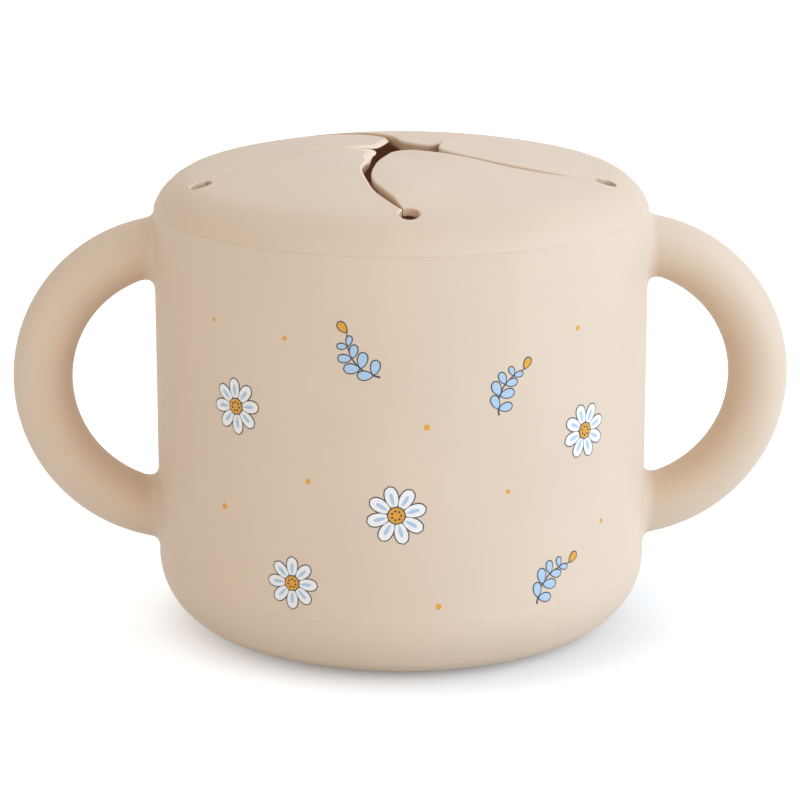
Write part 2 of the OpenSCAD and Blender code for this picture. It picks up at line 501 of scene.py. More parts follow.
def loop_centre(cup, loops):
    """Middle of the right-hand loop: (x, z). Its height is the CAD handle's."""
    low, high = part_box("handle_right")
    return cup.radius - loops.inset, (low.z + high.z) / 2


def patch_border(half_w, half_h):
    """Border of a root's patch, counter-clockwise from its lower right corner, in (u, z)."""
    us = np.linspace(half_w, -half_w, 2 * PATCH_COLUMNS + 1)[:-1]
    zs = np.linspace(-half_h, half_h, PATCH_ROWS + 1)[:-1]
    right_and_top = np.array([(half_w, z) for z in zs] + [(u, half_h) for u in us])
    return np.concatenate([right_and_top, -right_and_top])


def on_wall(cup, points, root_z):
    """Points of a patch, as (distance round, height), laid on the wall about a root's height."""
    angle = points[:, 0] / cup.radius
    return np.column_stack(
        [cup.radius * np.cos(angle), cup.radius * np.sin(angle), points[:, 1] + root_z]
    )


def root_rings(cup, loops, border, up, root_z):
    """Rings from a patch's border over the fillet to the loop's section, and where the loop starts."""
    centre_x, centre_z = loop_centre(cup, loops)
    turn = np.arctan2(border[:, 1], border[:, 0])
    y, outward = loops.section_r * np.cos(turn), np.sin(turn) * up  # outward is 1 on the loop's outer side
    reach = loops.loop_r + loops.section_r * outward
    wall_x = np.sqrt(cup.radius**2 - y**2)
    psi = np.arccos((wall_x - centre_x) / reach)
    hit = np.column_stack([wall_x, y, centre_z + up * reach * np.sin(psi)])
    fillet = loops.fillet_in + (loops.fillet_out - loops.fillet_in) * (1 + outward) / 2
    start_psi = psi - fillet / reach
    start = np.column_stack(
        [centre_x + reach * np.cos(start_psi), y, centre_z + up * reach * np.sin(start_psi)]
    )
    flat = np.column_stack([cup.radius * np.arcsin(y / cup.radius), hit[:, 2] - root_z])
    oval = flat + flat / np.linalg.norm(flat, axis=1)[:, None] * fillet[:, None]
    rings = [
        on_wall(cup, border + (oval - border) * k / PATCH_RINGS, root_z) for k in range(PATCH_RINGS + 1)
    ]
    for t in np.arange(1, FILLET_STEPS) / FILLET_STEPS:
        rings.append((1 - t) ** 2 * rings[PATCH_RINGS] + 2 * t * (1 - t) * hit + t * t * start)
    return rings, up * start_psi


def add_loop(skin, cup, loops, side, half_w, half_h, roots):
    """One loop handle: both patches on the wall, the fillets and the swept section."""
    centre_x, centre_z = loop_centre(cup, loops)
    border = patch_border(half_w, half_h)
    turn = np.arctan2(border[:, 1], border[:, 0])
    across, rise = np.cos(turn), np.sin(turn)
    ends = []
    for up, root_z in zip((-1, 1), roots):
        rings, psi = root_rings(cup, loops, border, up, root_z)
        rows = [skin.row(ring * (side, 1, 1)) for ring in rings]
        skin.strip(rows)
        ends.append((psi, rows[-1]))
    (low_psi, low_row), (high_psi, high_row) = ends
    # the upper patch runs the other way round the section, so its columns are matched by mirroring
    mirror = [int(np.argmin(np.hypot(across - across[k], rise + rise[k]))) for k in range(len(turn))]
    high_psi, high_row = high_psi[mirror], [high_row[k] for k in mirror]
    reach = loops.loop_r - loops.section_r * rise
    sweep = []
    for k in range(LOOP_ROWS + 1):
        psi = low_psi + (high_psi - low_psi) * k / LOOP_ROWS
        ring = np.column_stack(
            [centre_x + reach * np.cos(psi), loops.section_r * across, centre_z + reach * np.sin(psi)]
        )
        sweep.append(skin.row(ring * (side, 1, 1)))
    skin.strip([low_row] + sweep + [high_row])


def cup_notes(skin, cup, loops):
    """Where a faint glow is painted inside the cup, standing in for light through the wall, and painted
    shade on the loops' inner sides.
    """
    strength, fade, margin = 0.6, 2 * MM, 0.1 * MM
    centre_x, centre_z = loop_centre(cup, loops)
    x, y, z = np.array(skin.verts).T
    r = np.hypot(x, y)
    from_middle = (np.hypot(np.abs(x) - centre_x, z - centre_z) - loops.loop_r) / loops.section_r
    # painted shade, strongest on the loops' inner sides and fading out near the wall
    inner = np.clip(0.5 - 0.75 * from_middle, 0, 1)
    beyond = np.clip((r - cup.radius) / fade, 0, 1)
    # the inside wall and floor, where the faint glow is painted
    inside = (r < cup.radius - cup.wall + margin) & (z > cup.floor - margin)
    return {"deep": inside, "edge": -strength * inner * beyond}


def cup_mesh(cup, loops):
    """All rows of the cup: base, wall with two patches a side, rim and inside."""
    skin = Skin()
    step = math.tau / COLUMNS
    angles = np.arange(COLUMNS) * step
    centre_z = loop_centre(cup, loops)[1]
    shift = (loops.fillet_in - loops.fillet_out) / 2  # the larger fillet needs more room
    drop = math.sqrt(loops.loop_r**2 - loops.inset**2) - shift
    roots = (centre_z - drop, centre_z + drop)
    low, high = roots
    half_w = cup.radius * step * PATCH_COLUMNS
    half_h = min(low - cup.base_r, cup.seam_z - cup.seam_edge - high) - 0.05 * MM
    stretches = (
        (low - half_h, low + half_h, PATCH_ROWS),
        (low + half_h, high - half_h, 16),
        (high - half_h, high + half_h, PATCH_ROWS),
    )
    wall_z = [low - half_h]
    for start, end, count in stretches:
        wall_z += list(np.linspace(start, end, count + 1))[1:]
    base_rows, wall_rows, rim_rows = (
        [skin.row(revolve_row(point, angles)) for point in profile]
        for profile in (base_profile(cup), [(cup.radius, z) for z in wall_z], rim_profile(cup))
    )
    skin.strip(base_rows + wall_rows[:1])
    skin.strip(wall_rows[-1:] + rim_rows)
    skin.pole(base_rows[0], (0, 0, cup.foot_recess))
    skin.pole(rim_rows[-1], (0, 0, cup.floor))
    half_round = COLUMNS / 2
    for k, (first, second) in enumerate(zip(wall_rows, wall_rows[1:])):
        in_patch = k < PATCH_ROWS or k >= len(wall_rows) - 1 - PATCH_ROWS
        for column, quad in enumerate(grid_faces(first, second)):
            past_side = (column + 0.5) % half_round
            if not (in_patch and min(past_side, half_round - past_side) < PATCH_COLUMNS):
                skin.faces.append(quad)
    for side in (-1, 1):
        add_loop(skin, cup, loops, side, half_w, half_h, roots)
    return skin


# --- Lid: dome, shoulder, plug and underside, one moulding ---

CHORD_STEPS = 24
HOLE_STEPS = 24
EDGE_STEPS = 4
QUARTER = [math.pi / 2 * k / EDGE_STEPS for k in range(EDGE_STEPS + 1)]  # angles of a rounded edge
TOP_RINGS = 9
RIBS = 2
HOLE_SPREAD = math.radians(11)  # half of the angle that a hole's columns take at the shoulder
TOP_RINGS_R = 41.5 * MM  # radius at which the rings over the dome end


def skin_height(lid, r, depth):
    """Height of the lid's surface at a radius, sunk by a depth: dome, then shoulder."""
    r = np.asarray(r, float)
    dome_z = lid.apex_z - lid.dome_r
    reach = lid.shoulder_x / (lid.dome_r - lid.shoulder_r)
    join = lid.shoulder_x + (lid.shoulder_r - depth) * reach
    dome = dome_z + np.sqrt(np.maximum((lid.dome_r - depth) ** 2 - r**2, 0))
    side = np.maximum((lid.shoulder_r - depth) ** 2 - (r - lid.shoulder_x) ** 2, 0)
    return np.where(r < join, dome, lid.shoulder_z + np.sqrt(side))


def edge_steps(lid, flaps):
    """(inset, depth) of the rows over a cut edge: upper rounding, wall and lower rounding."""
    upper, under = flaps.edge_r, flaps.under_r
    steps = [(upper * (1 - math.sin(a)), upper * (1 - math.cos(a))) for a in QUARTER]
    return steps + [(under * (1 - math.cos(a)), lid.skin - under * (1 - math.sin(a))) for a in QUARTER]


def chord_points(flaps, inset):
    """Bending edge of the first flap, from hole 0 to hole 1."""
    a, b = polar(HOLE_RING_R, 0), polar(HOLE_RING_R, PITCH)
    along = (b - a) / np.linalg.norm(b - a)
    a, b = a + along * (flaps.hole_r + inset), b - along * (flaps.hole_r + inset)
    return [a + (b - a) * k / CHORD_STEPS for k in range(CHORD_STEPS + 1)]


def turned(points, angle):
    c, s = math.cos(angle), math.sin(angle)
    p = np.asarray(points)
    return np.stack([p[:, 0] * c - p[:, 1] * s, p[:, 0] * s + p[:, 1] * c], axis=1)


def ring_boundary(flaps, inset):
    """The lid's inner edge in plan: five bending edges and the outer arcs of the holes."""
    middle = polar(HOLE_RING_R, PITCH)
    half = (math.pi + PITCH) / 2
    sweep = np.linspace(-half, half, HOLE_STEPS + 1)[1:-1]
    arc_points = [middle + polar(flaps.hole_r + inset, PITCH + a) for a in sweep]
    part = chord_points(flaps, inset) + arc_points
    return np.concatenate([turned(part, TURN + k * PITCH) for k in range(FLAP_COUNT)])


def ring_angles():
    """Directions of the lid's columns: as many as the inner edge has points."""
    chord = np.linspace(HOLE_SPREAD, PITCH - HOLE_SPREAD, CHORD_STEPS + 1)
    hole = np.linspace(PITCH - HOLE_SPREAD, PITCH + HOLE_SPREAD, HOLE_STEPS + 1)[1:-1]
    part = np.concatenate([chord, hole])
    return np.concatenate([part + TURN + k * PITCH for k in range(FLAP_COUNT)])


def lid_outer_profile(lid, cup):
    """From high on the shoulder down to the seam, over groove, plug and ribs, to the underside."""
    edge = cup.seam_edge
    low_z = cup.seam_z + edge
    top = math.degrees(math.acos((TOP_RINGS_R - lid.shoulder_x) / lid.shoulder_r))
    low = math.degrees(math.asin((low_z - lid.shoulder_z) / lid.shoulder_r))
    inner = cup.radius - cup.wall
    groove = cup.seam_z + cup.lip_h + FIT_GAP
    plug_out = inner - lid.plug_gap
    plug_in = plug_out - lid.plug_t
    end_r = 0.4 * MM
    end_z = cup.seam_z - lid.plug_h + end_r
    points = arc(lid.shoulder_x, lid.shoulder_z, lid.shoulder_r, top, low, 22)
    points += arc(points[-1][0] - edge, low_z, edge, 0, -90, 3)[1:]
    lip = inner + cup.lip_w + FIT_GAP
    points += line(points[-1], (lip, cup.seam_z), 2)
    points += [(lip, groove), (plug_out, groove)]
    for k in range(RIBS):
        rib_z = cup.seam_z - lid.plug_h * (k + 0.7) / RIBS
        reach = lid.plug_gap - FIT_GAP - lid.rib_r
        foot = math.degrees(math.acos(-reach / lid.rib_r))
        points += arc(plug_out + reach, rib_z, lid.rib_r, foot, -foot, 8)
    points += arc(plug_out - end_r, end_z, end_r, 0, -90, 4)
    points += arc(plug_in + end_r, end_z, end_r, -90, -180, 4)
    points += [(plug_in, cup.seam_z), (plug_in, float(skin_height(lid, plug_in, lid.skin)))]
    return points


def on_dome(lid, plan, depth):
    r = np.linalg.norm(plan, axis=1)
    return np.column_stack([plan, skin_height(lid, r, depth)])


def lid_mesh(lid, cup, flaps):
    """The lid without its flaps: one closed band of rows, from the cut edges out and back."""
    skin = Skin()
    angles = ring_angles()
    steps = edge_steps(lid, flaps)
    outer = lid_outer_profile(lid, cup)

    def between(plan, goal_r, t, depth):
        goal = revolve_row((goal_r, 0), angles)[:, :2]
        return on_dome(lid, plan + (goal - plan) * t, depth)

    top_plan = ring_boundary(flaps, steps[0][0])
    under_plan = ring_boundary(flaps, steps[-1][0])
    # the upper rings lie closer near the cut edges
    rows = [between(top_plan, outer[0][0], (k / TOP_RINGS) ** 1.3, 0) for k in range(TOP_RINGS)]
    rows += [revolve_row(p, angles) for p in outer]
    rows += [between(under_plan, outer[-1][0], k / TOP_RINGS, lid.skin) for k in range(TOP_RINGS - 1, 0, -1)]
    rows += [on_dome(lid, ring_boundary(flaps, inset), depth) for inset, depth in reversed(steps[1:])]
    numbers = [skin.row(row) for row in rows]
    skin.strip(numbers + numbers[:1])
    return skin, lid_notes(skin, lid, cup, flaps)


def lid_notes(skin, lid, cup, flaps):
    """Where a faint glow is painted on the underside, standing in for light through the lid, with a painted
    highlight on the holes' upper rims and painted shade on the holes' walls.
    """
    points = np.array(skin.verts)
    r = np.linalg.norm(points[:, :2], axis=1)
    depth = skin_height(lid, r, 0) - points[:, 2]
    under = (r < cup.radius - cup.wall) & (depth > 0.8 * lid.skin)
    near_hole = r < HOLE_RING_R + flaps.hole_r + 0.3 * MM
    surface, rim_depth, painted_rim_light = 0.01 * MM, 0.3 * MM, 0.6
    # painted shade on the holes' walls below the rim, and a painted highlight on the rim
    hole_shade = near_hole & (depth > rim_depth)
    rim = near_hole & (depth > surface) & (depth < rim_depth)
    return {"deep": under, "edge": painted_rim_light * rim - hole_shade}


# --- Flaps: one flat template, settled on the dome five times by Geometry Nodes ---

SLIT_STEPS = 56
TIP_STEPS = 20
ROOT_STEPS = 10
FILL = 1.1 * MM  # spacing of the points inside a flap
FILL_CLEAR = 0.6 * FILL  # least gap between those and the outline
TIP_NEAR = (6 * MM, PITCH / 20)  # about where the tip's circle is centred, as radius and direction
UNIT_INSET = 1 * MM  # inset of the second outline, from which other insets are worked out
BORDER = 0.25 * MM  # depth below the upper rounding at which the painted shade of the slit's wall starts
WALL_START = 0.15 * MM  # depth below the upper rounding at which the wall's colour starts
UPPER_SHARE, UNDER_SHARE = 0.55, 0.3  # most of the thickness that each rounding may take
RIM_START = 0.7  # share of a rim's painted highlight at its upper end
HOLD = 0.65  # share of the bend over which presses fade out
PRESSES = 4


class Rest(NamedTuple):
    """How a soft flap lies at rest, in millimetres and degrees."""

    droop: float  # degrees that it hangs
    tip_r: float
    lip: tuple  # rounding of the upper edge and thickness, both at the tip, and how far they reach
    painted_rim_highlights: tuple  # painted highlight on the upper edge, standing in for light through it, 0 to 1: first slit, tip and second slit
    presses: tuple  # where it is pressed out of line, as (place, by, reach)
    corners: tuple = (1.8, 1.8)  # thickness beside the two holes


FLAPS_AT_REST = (  # in the order of the joints
    Rest(droop=0.8, tip_r=3.5, lip=(0.3, 1.8, 2.5), corners=(1.3, 1.8), painted_rim_highlights=(0.0, 0.2, 0.35), presses=(
        ((-1, -29), (0.5, 0.6, 0.95), 9),
        ((-5, -13), (0.9, 0, 0.75), 6),
        ((10, -7), (0, 0, 0.75), 9),
        ((-3.5, -8), (0.6, -0.2, -0.2), 6.5),
    )),
    Rest(droop=-1.8, tip_r=5.5, lip=(0.4, 1.8, 2.5), painted_rim_highlights=(0.0, 0.1, 0.0), presses=(
        ((3, -1), (3.0, 0, 0.1), 5),
    )),
    Rest(droop=-0.5, tip_r=3.5, lip=(0.4, 1.8, 2.5), painted_rim_highlights=(0.0, 0.0, 0.0), presses=(
        ((5.5, 2.5), (0, -1.2, -0.2), 3),
    )),
    Rest(droop=0.8, tip_r=4.5, lip=(1.5, 0.4, 4.0), painted_rim_highlights=(0.2, 0.9, 0.06), presses=(
        ((-1, 5), (-2.0, 0, 0), 4),
        ((-4.5, 1.5), (-0.3, 0.3, -0.1), 3.5),
        ((-1.5, 1.5), (-0.5, 0.9, -0.4), 3),
    )),
    Rest(droop=0.9, tip_r=3.5, lip=(1.8, 0.4, 6.0), corners=(1.8, 1.3), painted_rim_highlights=(0.06, 0.9, 1.0), presses=(
        ((-2.5, -2.5), (-2.3, -0.8, -0.15), 5),
        ((-7, -14.5), (-1.1, -0.4, 0.2), 5.5),
        ((-2, -26), (-0.4, -0.3, -0.1), 6),
        ((-4.5, -7), (-0.3, 0.2, -0.2), 3.5),
    )),
)


def circle_cross(c0, r0, c1, r1, near):
    """The crossing of two circles that lies nearer to a point."""
    gap = np.linalg.norm(c1 - c0)
    along = (c1 - c0) / gap
    x = (r0**2 - r1**2 + gap**2) / (2 * gap)
    h = math.sqrt(max(r0**2 - x**2, 0))
    side = np.array([-along[1], along[0]])
    found = [c0 + along * x + side * h, c0 + along * x - side * h]
    return min(found, key=lambda p: np.linalg.norm(p - near))


def arc_between(centre, a, b, steps):
    """Points on the shorter arc from a to b, without a."""
    start = math.atan2(*(a - centre)[::-1])
    sweep = math.atan2(*(b - centre)[::-1]) - start
    sweep = (sweep + math.pi) % math.tau - math.pi
    r = np.linalg.norm(a - centre)
    return [centre + polar(r, start + sweep * k / steps) for k in range(1, steps + 1)]


def flap_outline(flaps, tip_r, inset):
    """Outline of a flap between hole 0, on the X axis, and hole 1: chord, holes, slits and tip."""
    slit_r = HOLE_RING_R / 2 / math.sin(flaps.swirl)
    lean = math.pi / 2 - flaps.swirl
    c0, c1 = polar(slit_r, lean), polar(slit_r, lean + PITCH)
    outer_r, inner_r = slit_r - flaps.slit / 2, slit_r + flaps.slit / 2
    tip = circle_cross(c0, outer_r - tip_r, c1, inner_r + tip_r, polar(*TIP_NEAR))
    hole0, hole1 = polar(HOLE_RING_R, 0), polar(HOLE_RING_R, PITCH)
    hole_r = flaps.hole_r + inset
    outer_r, inner_r = outer_r - inset, inner_r + inset
    inside = HOLE_RING_R - flaps.hole_r
    p0 = circle_cross(c0, outer_r, hole0, hole_r, polar(inside, 0))
    p1 = circle_cross(c1, inner_r, hole1, hole_r, polar(inside, PITCH))
    t0 = c0 + (tip - c0) / np.linalg.norm(tip - c0) * outer_r
    t1 = c1 + (tip - c1) / np.linalg.norm(tip - c1) * inner_r
    points = chord_points(flaps, inset)
    start = points[0]
    for centre, goal, steps in (
        (hole1, p1, ROOT_STEPS), (c1, t1, SLIT_STEPS), (tip, t0, TIP_STEPS), (c0, p0, SLIT_STEPS),
        (hole0, start, ROOT_STEPS),
    ):
        points += arc_between(centre, points[-1], goal, steps)
    return np.array(points[:-1])


def inside_polygon(points, polygon):
    """Which points lie inside a polygon, by counting crossings."""
    x, y = points[:, 0][:, None], points[:, 1][:, None]
    a, b = polygon, np.roll(polygon, -1, axis=0)
    rises = (a[:, 1] > y) != (b[:, 1] > y)
    with np.errstate(divide="ignore", invalid="ignore"):
        cross = a[:, 0] + (y - a[:, 1]) * (b[:, 0] - a[:, 0]) / (b[:, 1] - a[:, 1])
    return (rises & (x < cross)).sum(axis=1) % 2 == 1


def fill_outline(outline):
    """Even triangles inside an outline: (points, triangles), the outline's own points first."""
    low, high = outline.min(0), outline.max(0)
    rows = np.arange(low[1], high[1], FILL * math.sqrt(3) / 2)
    inner = np.array([
        (x + (FILL / 2 if k % 2 else 0), y)
        for k, y in enumerate(rows)
        for x in np.arange(low[0], high[0], FILL)
    ])
    inner = inner[inside_polygon(inner, outline)]
    gaps = np.linalg.norm(inner[:, None] - outline[None], axis=2).min(axis=1)
    points = np.concatenate([outline, inner[gaps > FILL_CLEAR]])
    count = len(outline)
    edges = [(k, (k + 1) % count) for k in range(count)]
    found = delaunay_2d_cdt([Vector(p) for p in points], edges, [], 1, 1e-9)
    return np.array([tuple(v) for v in found[0]]), [tuple(f) for f in found[2]]


def flap_template(lid, flaps, rest):
    """The flap laid flat, as an object: z is minus the depth under the dome."""
    lip_r, lip_t, lip_reach = (value * MM for value in rest.lip)
    hole_points = np.array([polar(HOLE_RING_R, 0), polar(HOLE_RING_R, PITCH)])
    outline, inner = (flap_outline(flaps, rest.tip_r * MM, inset) for inset in (0, UNIT_INSET))
    tip_from = CHORD_STEPS + ROOT_STEPS + SLIT_STEPS
    tip_points = outline[tip_from:tip_from + TIP_STEPS + 1]
    order = np.arange(len(outline))
    free = order > CHORD_STEPS  # not the bending edge
    skin, rows, edge, deep = Skin(), [], [], []

    def softness(points):
        gap = np.linalg.norm(points[:, None] - tip_points[None], axis=2).min(axis=1)
        return np.exp(-(gap / lip_reach) ** 2)

    def thickness(points):
        thick = lid.skin + (lip_t - lid.skin) * softness(points)
        for hole, corner in zip(hole_points, rest.corners):
            near = np.exp(-(np.linalg.norm(points - hole, axis=1) / (2 * flaps.hole_r)) ** 2)
            thick = thick + (corner * MM - lid.skin) * near
        return thick

    # a row of the edge, with its share of painted highlight or shade and of painted glow
    def add_row(inset, depth, tone, inside):
        plan = outline + (inner - outline) * (inset / UNIT_INSET)[:, None]
        edge.extend(np.where(free, tone, 0.0))
        deep.extend([inside] * len(outline))
        rows.append(skin.row(np.column_stack([plan, -depth])))
        return plan

    soft, thick = softness(outline), thickness(outline)
    round_r = flaps.edge_r + (lip_r - flaps.edge_r) * soft
    round_depth = np.minimum(round_r, UPPER_SHARE * thick)
    under_r = np.minimum(flaps.under_r, UNDER_SHARE * thick)
    # painted highlight along the upper rounding: one share for each slit, blending to the tip's share near
    # the tip
    rim_highlight = np.where(order < tip_from + TIP_STEPS / 2, rest.painted_rim_highlights[2], rest.painted_rim_highlights[0])
    rim_highlight = rim_highlight + (rest.painted_rim_highlights[1] - rim_highlight) * soft
    # painted shade on the slit's wall, lighter near the tip
    wall = soft * rest.painted_rim_highlights[1] - 1
    none = 0 * soft
    top = add_row(round_r + BORDER, none, none, 0.0)
    for a in QUARTER:
        tone = rim_highlight * (RIM_START + (1 - RIM_START) * math.sin(a))
        add_row(round_r * (1 - math.sin(a)), round_depth * (1 - math.cos(a)), tone, 0.0)
    add_row(none, np.minimum(round_depth + WALL_START, thick - under_r), wall, 0.0)
    # the lower rounding and the underside get the faint painted glow
    for k, a in enumerate(QUARTER):
        depth = thick - under_r * (1 - math.sin(a))
        under = add_row(under_r * (1 - math.cos(a)), depth, wall, (1 + k / EDGE_STEPS) / 2)
    skin.strip(rows)
    for border, below in ((top, False), (under, True)):
        points, triangles = fill_outline(border)
        depth = thickness(points) if below else np.zeros(len(points))
        numbers = skin.row(np.column_stack([points, -depth]))
        edge.extend([0.0] * len(points))
        deep.extend([float(below)] * len(points))
        skin.faces.extend(tuple(numbers[i] for i in t) for t in triangles)
    return new_piece("flap_template", skin, silicone(), {"edge": edge, "deep": deep})


def dome_tree():
    """Settles a flat flap on the dome: bends it at its root, turns it to its place, presses it."""
    tree = ShapeTree("Settle on dome")
    tree.ask("Float", "Dome Radius", "Apex", "Hinge Radius", "Hinge Height")
    tree.ask("Float", "Bend", "Turn", "Half Pitch", "Droop")
    for number in range(PRESSES):
        tree.ask("Vector", "Press %d Place" % number, "Press %d By" % number)
        tree.ask("Float", "Press %d Reach" % number)
    given, add, less, times = tree.given, tree.add, tree.less, tree.times
    dome_r, hinge_r = given["Dome Radius"], given["Hinge Radius"]
    x, y, z = tree.split(tree.node("GeometryNodeInputPosition").outputs[0])
    sunk = add(dome_r, z)
    rise = tree.calc("SQRT", less(times(sunk, sunk), add(times(x, x), times(y, y))))
    domed = tree.join(x, y, add(less(given["Apex"], dome_r), rise))
    # distance in from the bending edge, along the flap's own middle, as a share of the bend
    cosine, sine = (tree.calc(part, given["Half Pitch"]) for part in ("COSINE", "SINE"))
    along = tree.vector("DOT_PRODUCT", domed, tree.join(cosine, sine, 0.0))["Value"]
    share = tree.over(less(hinge_r, along), given["Bend"])
    pivot = tree.join(times(cosine, hinge_r), times(sine, hinge_r), given["Hinge Height"])
    axis = tree.join(sine, times(cosine, -1.0), 0.0)
    angle = times(tree.smooth(share, 0.0, 1.0, 1.0), given["Droop"])
    bent = tree.node("ShaderNodeVectorRotate", domed, pivot, axis, angle, rotation_type="AXIS_ANGLE")
    turned_by = {"Vector": bent.outputs[0], "Center": (0, 0, 0), "Angle": given["Turn"]}
    placed = tree.node("ShaderNodeVectorRotate", named=turned_by, rotation_type="Z_AXIS").outputs[0]
    # local presses, which fade out towards the root
    past_root = tree.smooth(share, 0.0, HOLD, 1.0)
    now = placed
    for number in range(PRESSES):
        away = tree.vector("SUBTRACT", placed, given["Press %d Place" % number])["Vector"]
        flat = tree.vector("MULTIPLY", away, (1, 1, 0))["Vector"]
        ratio = tree.over(tree.vector("LENGTH", flat)["Value"], given["Press %d Reach" % number])
        fade = tree.calc("EXPONENT", times(times(ratio, ratio), -1.0))
        by = {"Vector": given["Press %d By" % number], "Scale": times(fade, past_root)}
        now = tree.vector("ADD", now, tree.vector("SCALE", named=by)["Vector"])["Vector"]
    return tree.finish(given["Geometry"], now, silicone())


def settle_values(lid, flaps, number, rest):
    """Inputs of the dome tree for one flap."""
    values = {
        "Dome Radius": lid.dome_r, "Apex": lid.apex_z,
        "Hinge Radius": HINGE_R, "Hinge Height": HINGE.z, "Bend": flaps.bend,
        "Turn": TURN + number * PITCH, "Half Pitch": PITCH / 2, "Droop": math.radians(rest.droop),
    }
    no_press = ((0, 0), (0, 0, 0), 1)
    presses = rest.presses + (no_press,) * (PRESSES - len(rest.presses))
    for step, (place, by, reach) in enumerate(presses):
        values["Press %d Place" % step] = (*(c * MM for c in place), 0.0)
        values["Press %d By" % step] = tuple(c * MM for c in by)
        values["Press %d Reach" % step] = reach * MM
    return values


# --- Print: flowers and sprigs, laid flat and wrapped on the wall ---

# Layout on the unrolled wall, in millimetres: distance round from the front, height, tilt in
# radians and size
FLOWERS = ((-31, 47, 0.1, 0.95), (-2, 31, 0.25, 1.0), (33, 42, 0.3, 0.95), (-20, 18, 0.0, 0.9))
SPRIGS = ((-9, 57, 0.7, 1.0), (16, 52, -0.5, 0.95), (25, 18, -0.8, 1.0))
DOTS = (
    (-21, 60, 0, 0.8), (3, 46, 0, 1.0), (-17, 36, 0, 0.9), (17, 34, 0, 0.8), (5, 15, 0, 1.0),
    (-34, 29, 0, 1.0), (31, 60, 0, 0.9), (-36, 61, 0, 0.7), (38, 25, 0, 0.8),
)
# Half-width and length, as shares of a flower's radius or of a sprig's length
PETAL, STREAK, LEAF, BUD = np.array(((0.245, 0.83), (0.06, 0.42), (0.1, 0.31), (0.085, 0.25)))
# More shares of a flower's radius
PETAL_START, MIDDLE_R, SEED_RING, SEED_R = 0.17, 0.26, 0.15, 0.035
BUD_START = 0.96  # share of the way up the stem
STEM_CURVE, STEM_TURN = 0.9, 0.45  # how far a stem curves, and where on its way it turns
LEAVES = ((0.1, 0.95), (0.33, 1.0), (0.56, 0.85), (0.77, 0.66))  # place on the stem, and size
LEAF_HEADING = math.radians(52)
SEEDS = 7
DOT_R = 0.5 * MM


def band(middle, half_widths):
    """A flat mark as corners and faces: half-widths along a middle line."""
    middle = np.array(middle, float)
    ahead = np.gradient(middle, axis=0)
    ahead /= np.linalg.norm(ahead, axis=1)[:, None]
    corners, faces, last = [], [], None
    for (x, y), (dx, dy), w in zip(middle, ahead, half_widths):
        row = [len(corners)] if w < 1e-9 else [len(corners), len(corners) + 1]
        corners += [(x, y)] if w < 1e-9 else [(x + w * dy, y - w * dx), (x - w * dy, y + w * dx)]
        if last:
            faces.append((last[0], row[0], *row[1:], *last[1:]))
        last = row
    return corners, faces


def petal(start, heading, half_w, length_m, border=0):
    """A petal or leaf, smaller all round by a border; its heading is in radians from +Y."""
    ts = np.linspace(0, 1, 13)
    way = np.array([-math.sin(heading), math.cos(heading)])
    middle = [np.array(start) + way * (border + (length_m - 2 * border) * t) for t in ts]
    # the power makes it widest past its middle
    return band(middle, (half_w - border) * np.sqrt(np.maximum(1 - (2 * ts**1.3 - 1) ** 2, 0)))


def dot(r, steps=12):
    """A round dot."""
    turns = np.linspace(-math.pi / 2, math.pi / 2, steps + 1)
    widths = [0, *(r * math.cos(t) for t in turns[1:-1]), 0]
    return band([(0, r * math.sin(t)) for t in turns], widths)


def mark(bands, material):
    """One flat object from several bands."""
    verts, faces = [], []
    for corners, quads in bands:
        faces += [tuple(len(verts) + i for i in quad) for quad in quads]
        verts += [(x, y, 0) for x, y in corners]
    return show("mark", plain_mesh("mark", verts, faces, material))


def stem_point(size, t):
    """A point on a sprig's gently curved stem, from its foot to its top."""
    return np.array([STEM_CURVE * size * (t - STEM_TURN) ** 2, size * (t - 0.5)])


def sprig_leaves(size, border):
    """Pairs of leaves on a sprig's stem."""
    return [
        petal(stem_point(size, t), heading, *LEAF * size * share, border)
        for t, share in LEAVES
        for heading in (-LEAF_HEADING, LEAF_HEADING)
    ]


def print_layers(shape):
    """The print's layers: name, layout, copies round a ring, its radius, level, ink and bands."""
    white, sky, amber, charcoal = (ink(name) for name in ("white", "sky", "amber", "charcoal"))
    flower, sprig, line_w = shape.flower_r, shape.sprig, shape.line_w
    petals, start, middle_r = shape.petals, PETAL_START * flower, MIDDLE_R * flower
    ts = np.linspace(0, 1, 19)
    stem = band([stem_point(sprig, t) for t in ts], 0.6 * line_w * (1.3 - 0.6 * ts))  # tapers upwards
    top = stem_point(sprig, BUD_START)
    sprig_lines = [stem, petal(top, 0, *BUD * sprig), *sprig_leaves(sprig, 0)]
    return (
        ("petal_lines", FLOWERS, petals, start, 0, charcoal, [petal((0, 0), 0, *PETAL * flower)]),
        ("petals", FLOWERS, petals, start, 1, white, [petal((0, 0), 0, *PETAL * flower, line_w)]),
        ("petal_streaks", FLOWERS, petals, 2 * start, 2, sky, [petal((0, 0), 0, *STREAK * flower)]),
        ("middle_lines", FLOWERS, 1, 0.0, 3, charcoal, [dot(middle_r + line_w)]),
        ("middles", FLOWERS, 1, 0.0, 4, amber, [dot(middle_r)]),
        ("seeds", FLOWERS, SEEDS, SEED_RING * flower, 5, charcoal, [dot(SEED_R * flower, 8)]),
        ("sprig_lines", SPRIGS, 1, 0.0, 0, charcoal, sprig_lines),
        ("sprig_leaves", SPRIGS, 1, 0.0, 1, sky, sprig_leaves(sprig, line_w)),
        ("sprig_buds", SPRIGS, 1, 0.0, 1, amber, [petal(top, 0, *BUD * sprig, line_w)]),
        ("dots", DOTS, 1, 0.0, 0, amber, [dot(DOT_R)]),
    )


